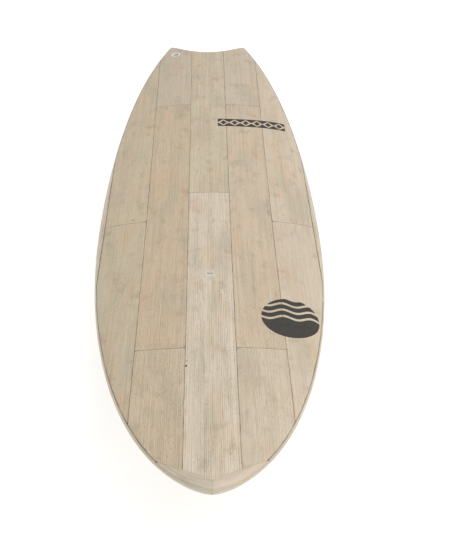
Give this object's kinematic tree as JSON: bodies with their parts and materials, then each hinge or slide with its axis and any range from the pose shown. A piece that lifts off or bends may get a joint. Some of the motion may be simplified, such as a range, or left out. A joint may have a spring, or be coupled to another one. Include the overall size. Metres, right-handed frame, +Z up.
{
  "type": "surfboard",
  "caption": "Short wide surfboard with a balsa plank deck over a foam core, a soft nose, a crescent tail, removable fins, a vent and a leash plug.",
  "frame": {"origin": "on the bottom's flat spot, on the centreline, 950 mm from the nose tip", "axes": "+Z up out of the deck, +Y from the nose to the tail, +X to the rider's left"},
  "size_m": [0.521, 1.7779, 0.2065],
  "materials": {
    "core_foam": "white closed-cell bead foam",
    "glass_cloth": "glass cloth in clear resin",
    "balsa_pale": "pale striped balsa under a clear satin coat",
    "balsa_warm": "warm flecked balsa under a clear satin coat",
    "balsa_cool": "greyer balsa under a clear satin coat",
    "rail_balsa": "laminated balsa strips under a clear satin coat",
    "block_balsa": "laminated balsa block under a clear satin coat",
    "white_plastic": "white moulded plastic",
    "vent_grey": "grey moulded plastic",
    "dense_foam": "dense structural foam",
    "box_plastic": "moulded fin box plastic",
    "fin_laminate": "smoked glass laminate, polished",
    "seal_rubber": "black seal rubber",
    "membrane": "white breathing membrane",
    "stainless_steel": "stainless steel"
  },
  "bodies": {
    "board": {"foam_core": "core_foam", "deck_glass": "glass_cloth", "bottom_glass": "glass_cloth", "deck_plank_mid_nose": "balsa_pale", "deck_plank_mid_tail": "balsa_pale", "deck_plank_inner_left_nose": "balsa_warm", "deck_plank_inner_left_mid": "balsa_warm", "deck_plank_inner_left_tail": "balsa_warm", "deck_plank_inner_right_nose": "balsa_warm", "deck_plank_inner_right_mid": "balsa_warm", "deck_plank_inner_right_tail": "balsa_warm", "deck_plank_outer_left_nose": "balsa_cool", "deck_plank_outer_left_tail": "balsa_cool", "deck_plank_outer_right_nose": "balsa_cool", "deck_plank_outer_right_tail": "balsa_cool", "bottom_plank_mid_nose": "balsa_pale", "bottom_plank_mid_tail": "balsa_pale", "bottom_plank_inner_left_nose": "balsa_warm", "bottom_plank_inner_left_tail": "balsa_warm", "bottom_plank_inner_right_nose": "balsa_warm", "bottom_plank_inner_right_tail": "balsa_warm", "bottom_plank_outer_left_nose": "balsa_cool", "bottom_plank_outer_left_tail": "balsa_cool", "bottom_plank_outer_right_nose": "balsa_cool", "bottom_plank_outer_right_tail": "balsa_cool", "rail_cap_left": "rail_balsa", "rail_cap_right": "rail_balsa", "rail_strip_outer_left": "rail_balsa", "rail_strip_outer_right": "rail_balsa", "rail_strip_inner_left": "rail_balsa", "rail_strip_inner_right": "rail_balsa", "nose_block_left": "block_balsa", "nose_block_right": "block_balsa", "tail_block": "block_balsa", "vent_insert": "dense_foam", "vent_body": "white_plastic", "vent_membrane": "membrane", "leash_insert": "dense_foam", "leash_cup": "white_plastic", "leash_bar": "stainless_steel", "fin_insert_left": "dense_foam", "fin_insert_right": "dense_foam", "fin_insert_centre": "dense_foam", "fin_box_left": "box_plastic", "fin_box_right": "box_plastic", "fin_box_centre": "box_plastic"},
    "fin_left": {"fin_left": "fin_laminate"},
    "grub_screw_left": {"grub_screw_left": "stainless_steel"},
    "fin_right": {"fin_right": "fin_laminate"},
    "grub_screw_right": {"grub_screw_right": "stainless_steel"},
    "fin_centre": {"fin_centre": "fin_laminate"},
    "grub_screw_centre": {"grub_screw_centre": "stainless_steel"},
    "vent_ring": {"vent_o_ring": "seal_rubber"},
    "vent_screw": {"vent_screw": "vent_grey"}
  },
  "joints": [
    {"name": "fin_left_slide", "type": "slide", "parent": "board", "child": "fin_left", "axis": [0.0641, 0.0704, -0.9955], "range_m": [0, 0.016]},
    {"name": "grub_screw_left_turn", "type": "hinge", "parent": "board", "child": "grub_screw_left", "pos_m": [0.16104, 0.43128, 0.01694], "axis": [0.0311, -0.514, -0.8572], "range_deg": [0, 720]},
    {"name": "fin_right_slide", "type": "slide", "parent": "board", "child": "fin_right", "axis": [-0.0641, 0.0704, -0.9955], "range_m": [0, 0.016]},
    {"name": "grub_screw_right_turn", "type": "hinge", "parent": "board", "child": "grub_screw_right", "pos_m": [-0.16104, 0.43128, 0.01694], "axis": [-0.0311, -0.514, -0.8572], "range_deg": [0, 720]},
    {"name": "fin_centre_slide", "type": "slide", "parent": "board", "child": "fin_centre", "axis": [0, 0.0903, -0.9959], "range_m": [0, 0.016]},
    {"name": "grub_screw_centre_turn", "type": "hinge", "parent": "board", "child": "grub_screw_centre", "pos_m": [0, 0.61717, 0.02923], "axis": [0, -0.4973, -0.8676], "range_deg": [0, 720]},
    {"name": "vent_screw_lift", "type": "slide", "parent": "board", "child": "vent_ring", "axis": [0, 0.0483, 0.9988], "range_m": [0, 0.0045]},
    {"name": "vent_screw_turn", "type": "hinge", "parent": "vent_ring", "child": "vent_screw", "pos_m": [0, -0.345, 0.06985], "axis": [0, 0.0483, 0.9988], "range_deg": [0, 1090]}
  ],
  "couplings": [
    {"joint": "vent_screw_turn", "follows": "vent_screw_lift", "rad_per_m": 4188.8}
  ]
}
